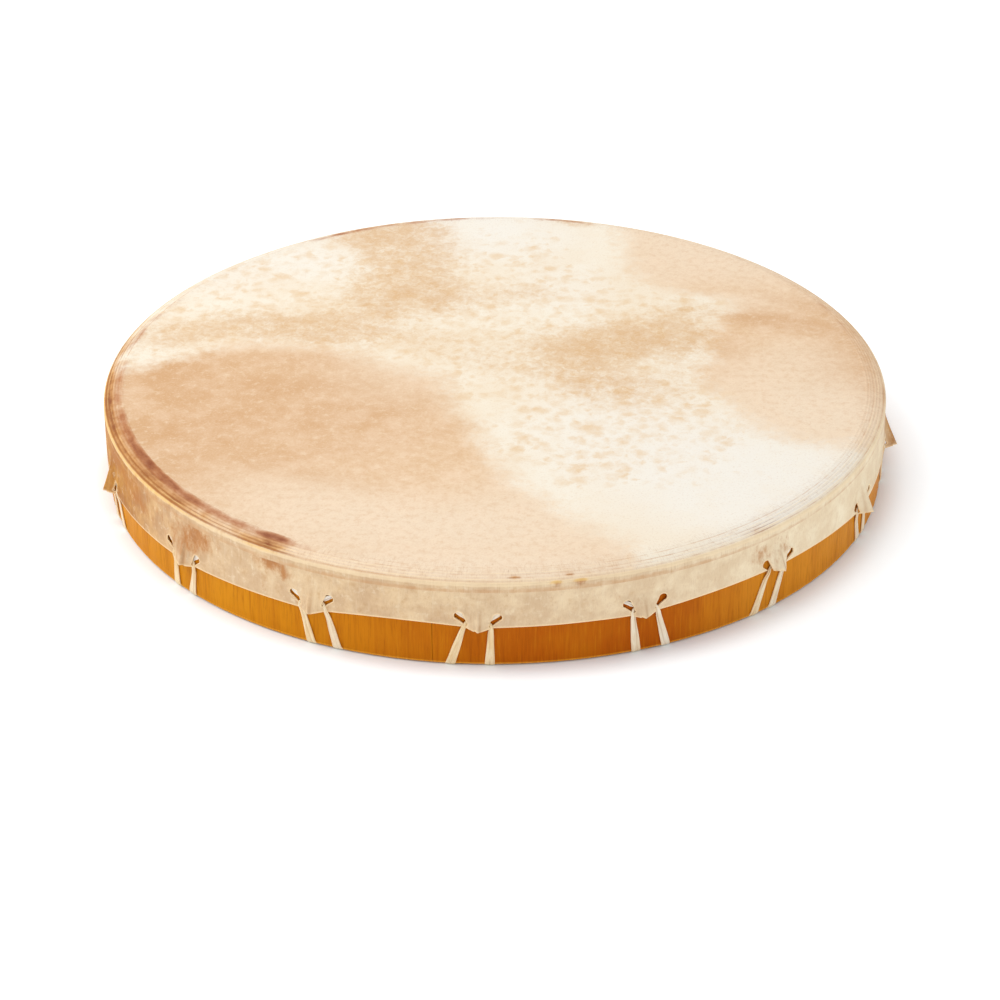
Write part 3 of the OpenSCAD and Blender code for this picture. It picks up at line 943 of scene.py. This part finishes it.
    # painted shade on the facets next to each fold's crease, strongest where the fold stands out
    grow = clip01((FOLD_TOP[i] - z) / 14)
    u = s / (HALF[i] + 0.2) - CREASE[i]
    creases = clip01(bell(u, 0.17, 0.12) + 0.5 * bell(u, -0.5, 0.15))
    shadow_side = np.where(skirt, grow * (np.abs(s) < HALF[i]) * creases, 0.0)
    tan = np.maximum(inside_by(TAN_LEFT, flat_x, flat_y), inside_by(TAN_RIGHT, flat_x, flat_y))
    attributes = {
        **{name: spots(listed, flat_x, flat_y) for name, listed in SPOTS.items()},
        "rings": rings, "band": np.maximum(band, bell(r, 236, 1.5) * ~skirt),
        "tan": np.clip(tan, -60, 60),
        "stain": rim_stain(turn, z, under), "side": on_side, "tone": side_tone(turn), "rim": rim_part,
        "ridge": line + shadow_under_bead + dip_shade, "cut": near_cut, "pore": pore, "tuck": shadow_side,
        "golden": clip01((under - 241.5) / 3.5) * band,
    }
    verts = np.stack([x, y, z_out], 1)[used]
    head = make_object("rawhide_drumhead", verts, faces, hide_material(), scale=MM,
                       attributes={k: v[used] for k, v in attributes.items()})
    solid = head.modifiers.new("thickness", "SOLIDIFY")
    solid.thickness = 0.95 * hide_t * MM
    solid.offset = -1
    solid.use_even_offset = False
    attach(head, BODY)
    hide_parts("drumhead")


# ---- laces


def sweep(stations, seed, step=1.4, soften=2, crease=0.14, pale=0.15):
    """A creased ribbon through stations of middle, width direction, thickness direction, half width and
    half thickness. Returns its points, faces and attributes."""
    rows = []
    for p, q in zip(stations, stations[1:]):
        parts = max(1, int(round((q[0] - p[0]).length / step)))
        for t in (k / parts for k in range(parts)):
            ways = [v.lerp(w, t) for v, w in zip(p[:3], q[:3])]
            rows.append((*ways, *(v + (w - v) * t for v, w in zip(p[3:], q[3:]))))
    rows.append(stations[-1])
    mids, wides, thicks = (np.array([tuple(row[k]) for row in rows]) for k in range(3))
    halves, depths = (np.array([row[k] for row in rows]) for k in (3, 4))
    for _ in range(soften):
        for v in (mids, wides, thicks, halves, depths):
            v[1:-1] = (v[:-2] + 2 * v[1:-1] + v[2:]) / 4
    wides /= np.linalg.norm(wides, axis=1, keepdims=True)
    thicks -= wides * (wides * thicks).sum(1, keepdims=True)
    thicks /= np.linalg.norm(thicks, axis=1, keepdims=True)
    run = np.concatenate([[0], np.cumsum(np.linalg.norm(np.diff(mids, axis=0), axis=1))])

    draw = random.Random(seed)
    across = np.array([-1, -0.93, -0.72, -0.48, -0.24, 0, 0.24, 0.48, 0.72, 0.93, 1])
    round_off = np.array([0.35, 0.82, 1, 1, 1, 1, 1, 1, 1, 0.82, 0.35])
    fold_at = [0.45 * np.sin(run / 21 + draw.uniform(0, 6)) + draw.uniform(-0.3, 0.3) for _ in range(2)]
    narrow = np.clip(3.0 / halves - 1, 0, 1.4)
    facing = np.hypot(thicks[:, 0], thicks[:, 1])
    creased = crease * (1 + 1.2 * narrow) * facing
    edge_wave = 1 + 0.035 * np.sin(run / 6.1 + draw.uniform(0, 6))
    edge_wave = edge_wave + 0.03 * np.sin(run / 2.9 + draw.uniform(0, 6))
    points, coords, edges, pales, shades = [], [], [], [], []
    for side in (1, -1):
        for u, full in zip(across, round_off):
            dent = sum(np.exp(-((u - f) / 0.2) ** 2) for f in fold_at) * creased
            lift = depths * full * side - dent * (1 - abs(u) ** 3)
            points.append(mids + wides * (u * halves * edge_wave)[:, None] + thicks * lift[:, None])
            coords.append(np.stack([u * 3.0 + 0 * run, run * 0.07, side + 0 * run], 1))
            edges.append(np.full(len(run), abs(u) ** 8))
            # painted shade along one side of each crease, stronger where the strip is narrow
            beside = sum(np.exp(-((u - f - 0.12) / 0.14) ** 2) for f in fold_at)
            shades.append(beside * clip01(narrow + 0.35))
            pales.append(clip01(pale + 0.3 * np.sin(run / 47 + seed)))
    n, m = len(run), len(across)
    points, coords, edges, pales, shades = (np.stack(v, 1) for v in (points, coords, edges, pales, shades))
    loop = list(range(m)) + list(range(2 * m - 1, m - 1, -1))
    faces = []
    for a in range(0, (n - 1) * 2 * m, 2 * m):
        b = a + 2 * m
        faces += [(a + p, b + p, b + q, a + q) for p, q in zip(loop, loop[1:] + loop[:1])]
    faces.append(tuple(loop))
    faces.append(tuple((n - 1) * 2 * m + k for k in reversed(loop)))
    look = {
        "run": coords.reshape(-1, 3), "edge": edges.ravel(), "pale": pales.ravel(), "crease": shades.ravel(),
    }
    return points.reshape(-1, 3), faces, look


def merged(parts):
    """Several swept strips as one set of points, faces and attributes."""
    faces, start = [], 0
    for points, listed, _ in parts:
        faces += [tuple(k + start for k in face) for face in listed]
        start += len(points)
    look = {key: np.concatenate([strip[2][key] for strip in parts]) for key in parts[0][2]}
    return np.concatenate([strip[0] for strip in parts]), faces, look


def in_arm(a, r, col, row):
    return out(a) * r + along(a) * (col * bundle_w / 2) + UP * (arm_z + row * bundle_t / 2)


def climb(i, a, col, row, g, q):
    """Half of a lace's trip over the rim, from the arm up to the hide's hole; g is +1 on the left."""
    f = i * STEP
    right = int(g < 0)
    s, foot, drop = LACING[i][right], LACING[i][2 + right], DROP[i][right]
    inward = foot + (5 if col < 0 else -5)
    w = q * g
    sit = hoop_r + 0.62 * lace_t
    over_hide = drum_r + 0.62
    mouth = HOLE_LOW[1] - 0.9 - drop
    e = min(EDGE_Z[i], mouth - 2)
    s1, s2 = (foot + (s - foot) * z / (hole_z - drop) for z in (e - 3, e + 0.8))
    (t0, _), (t1, o1), (t2, o2), (t3, o3) = (
        (along(rim_angle(f, place)), out(rim_angle(f, place))) for place in (inward, foot, s1, s)
    )
    slant = (UP * (hole_z - drop - 2) + t3 * (s - foot)).normalized()
    flat = (t2 - slant * slant.dot(t2)).normalized()
    down, half = UP * -q, lace_w / 2
    turning = (t3 * w - UP * q * 0.6).normalized()
    into = rim(f, inward + (foot - inward) * 0.2, hoop_in + 1.4, 0.5 * lace_t)
    return [
        (in_arm(a, bind_in, col, row), along(a) * w, down, 1.9, 1.0),
        (in_arm(a, bind_r - 2, col, row), along(a) * w, down, 1.9, 1.0),
        (in_arm(a, bind_r + 14, col, row * 0.75), along(a) * w, down, 2.3, 0.7),
        (rim(f, inward, hoop_in - 1.6, 0.66 * lace_t), t0 * w, down, half, 0.46 * lace_t),
        (into, t0 * w, down, half, 0.44 * lace_t),
        (rim(f, foot, hoop_r - 0.8, 0.5 * lace_t), t1 * w, down, half, 0.44 * lace_t),
        (rim(f, foot, sit, 0.9 * lace_t), t1 * w, (o1 - UP) * (q / math.sqrt(2)), half, 0.52 * lace_t),
        (rim(f, foot + (s - foot) * 0.1, sit, 3.4), flat * w, o1 * q, half * 0.94, 0.5 * lace_t),
        (rim(f, s1, sit, e - 3), flat * w, o2 * q, 1.62, 0.5 * lace_t),
        (rim(f, s2, over_hide, e + 0.8), flat * w, o3 * q, 1.35, 0.5 * lace_t),
        (rim(f, s - g * 0.1, over_hide + 0.1, mouth), flat * w, o3 * q, 1.05, 0.55),
        (rim(f, s + g * 0.1, drum_r - 0.1, mouth + 1.2), turning, o3 * q, 1.0, 0.45),
        (rim(f, s + g * 1.6, drum_r - 0.5, hole_z + 0.9 - drop), down, o3 * q, 1.2, 0.36),
    ]


def ring_turn(a, offset, g):
    """A turn over the centre ring, from its top through its eye to its underside."""
    b = rim_angle(a, offset * hoop_r / ring_r)
    stations = []
    for k in range(60, 301, 20):
        e = out(b) * math.cos(math.radians(k)) + UP * math.sin(math.radians(k))
        stations.append((out(b) * ring_r + UP * arm_z + e * wrap_r, along(b) * -g, e * -g, 1.75, 0.8))
    return stations


def trip(i, a, col, q):
    """A lace's way from its arm in and out of pair i's two holes and back."""
    m, f = pair_mid(i), i * STEP
    low = hole_z + 0.9 - sum(DROP[i]) / 2
    middle = (rim(f, m, drum_r - 0.3, low), UP * -q, out(rim_angle(f, m)) * q, 1.3, 0.4)
    return climb(i, a, col, -1, 1, q) + [middle] + climb(i, a, col, 1, -1, q)[::-1]


# How much of each hole the lace fills behind it, left and right: 1 all of its round end, 0.5 a band, 0 none
FILLED = [
    (1, 1), (0.5, 0), (0, 1), (0, 0.5), (0, 1), (1, 0.5), (0.5, 1), (1, 1),
    (1, 0), (0.5, 1), (1, 1), (0, 0.5), (1, 0.5), (1, 1), (1, 1), (1, 0.5),
]


# That lace's stations: place past the pair's half width, height over hole_z, depth and half width
BIGHT_FULL = [
    (-1.9, 1.0, 0.4, 0.6), (-0.5, 3.2, 0.4, 1.4), (1.5, 5.6, 0.4, 2.7), (2.9, 7.4, 0.45, 3.2),
    (3.9, 9.8, 0.55, 2.6),
]
BIGHT_BAND = [
    (-1.6, 2.2, 0.5, 1.0), (0.4, 3.2, 0.35, 1.3), (2.0, 4.6, 0.35, 1.5), (4.2, 5.8, 0.55, 1.4),
    (5.6, 6.4, 0.6, 1.0),
]


def bight(i, g, filled):
    """The lace seen through a hole, where it turns up behind the hide."""
    f = i * STEP
    m, h = pair_mid(i), pair_half(i)

    def spot(x, z, sunk, half):
        s = m - g * (h + x)
        t, o = along(rim_angle(f, s)), out(rim_angle(f, s))
        lean = (UP * 6 - t * g * 3).normalized()
        across = (t - lean * lean.dot(t)).normalized()
        place = rim(f, s, drum_r - sunk, hole_z + z - DROP[i][int(g < 0)])
        return (place, across, o, half, 0.3)

    return [spot(*row) for row in (BIGHT_FULL if filled > 0.7 else BIGHT_BAND)]


LACE_TINTS = [
    (246, 226, 186), (246, 230, 196), (242, 222, 180), (238, 210, 160),
    (244, 222, 180), (240, 214, 168), (246, 226, 186), (246, 224, 182),
]


def build_lace(n):
    i = (2 * n - 3 + PAIRS) % PAIRS
    j = (i + 1) % PAIRS
    a = (2 * n - 2.5) * STEP
    line = (ring_turn(a, -4.6, -1) + trip(i, a, -1, 1) + ring_turn(a, 0, 1)
            + trip(j, a, 1, -1) + ring_turn(a, 4.6, -1))
    parts = [sweep(line, 100 + n)]
    for pair in (i, j):
        for g, filled in ((1, FILLED[pair][0]), (-1, FILLED[pair][1])):
            if filled:
                parts.append(sweep(bight(pair, g, filled), 200 + pair, step=0.6, crease=0.1, pale=0.9))
    points, faces, attributes = merged(parts)
    tint = upright(*LACE_TINTS[n - 1])
    lace = make_object(f"rawhide_lace_{n}", points, faces, lace_material(f"rawhide_lace_{n}", tint, 17 * n),
                       attributes=attributes, scale=MM)
    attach(lace, BODY)
    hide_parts(f"lace_{n}")


# ---- arm bindings


def build_binding(n, material):
    """A strip wound in close, slightly overlapping turns round one arm's four strands."""
    a = (2 * n - 2.5) * STEP
    draw = random.Random(300 + n)
    wide, high, square = 5.0, 3.35, 0.62
    pitch, strip, tilt = 5.5, 6.3, 0.07
    turns = (bind_r - bind_in - 1 - strip) / pitch
    per_turn = 28
    stations = []
    uneven = [draw.uniform(-0.25, 0.25) for _ in range(int(turns) + 3)]
    for k in range(int(turns * per_turn) + 1):
        t = k / per_turn
        angle = 2 * math.pi * t + 0.6 * n
        c, s = math.cos(angle), math.sin(angle)
        x = math.copysign(abs(c) ** square, c) * wide
        z = math.copysign(abs(s) ** square, s) * high
        slack = 1 + 0.02 * math.sin(t * 1.9 + n)
        drift = uneven[int(t)] * (1 - t % 1) + uneven[int(t) + 1] * (t % 1)
        r = bind_in + strip / 2 + t * pitch + drift
        normal = (along(a) * (c / wide) + UP * (s / high)).normalized()
        wide_way = (out(a) + normal * tilt).normalized()
        middle = out(a) * r + along(a) * (x * slack) + UP * (arm_z + z * slack)
        stations.append((middle, wide_way, normal, strip / 2, 0.42))
    points, faces, attributes = sweep(stations, 300 + n, step=2.0, soften=1, crease=0.1)
    binding = make_object(f"rawhide_binding_{n}", points, faces, material, scale=MM, attributes=attributes)
    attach(binding, BODY)
    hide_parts(f"arm_binding_{n}")


add_camera()
add_studio()
add_floor()

build_drumhead()
for number in range(1, 9):
    build_lace(number)
binding_look = lace_material("rawhide_binding", upright(238, 216, 172), 5)
for number in range(1, 9):
    build_binding(number, binding_look)

for name, shift in (("outer", 0), ("2", 31), ("3", 57), ("inner", 83)):
    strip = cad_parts[f"hoop_strip_{name}"]
    strip.material_slots[0].material = wood_material(f"hoop_wood_{name}", shift)
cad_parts["centre_ring"].material_slots[0].material = steel_material()
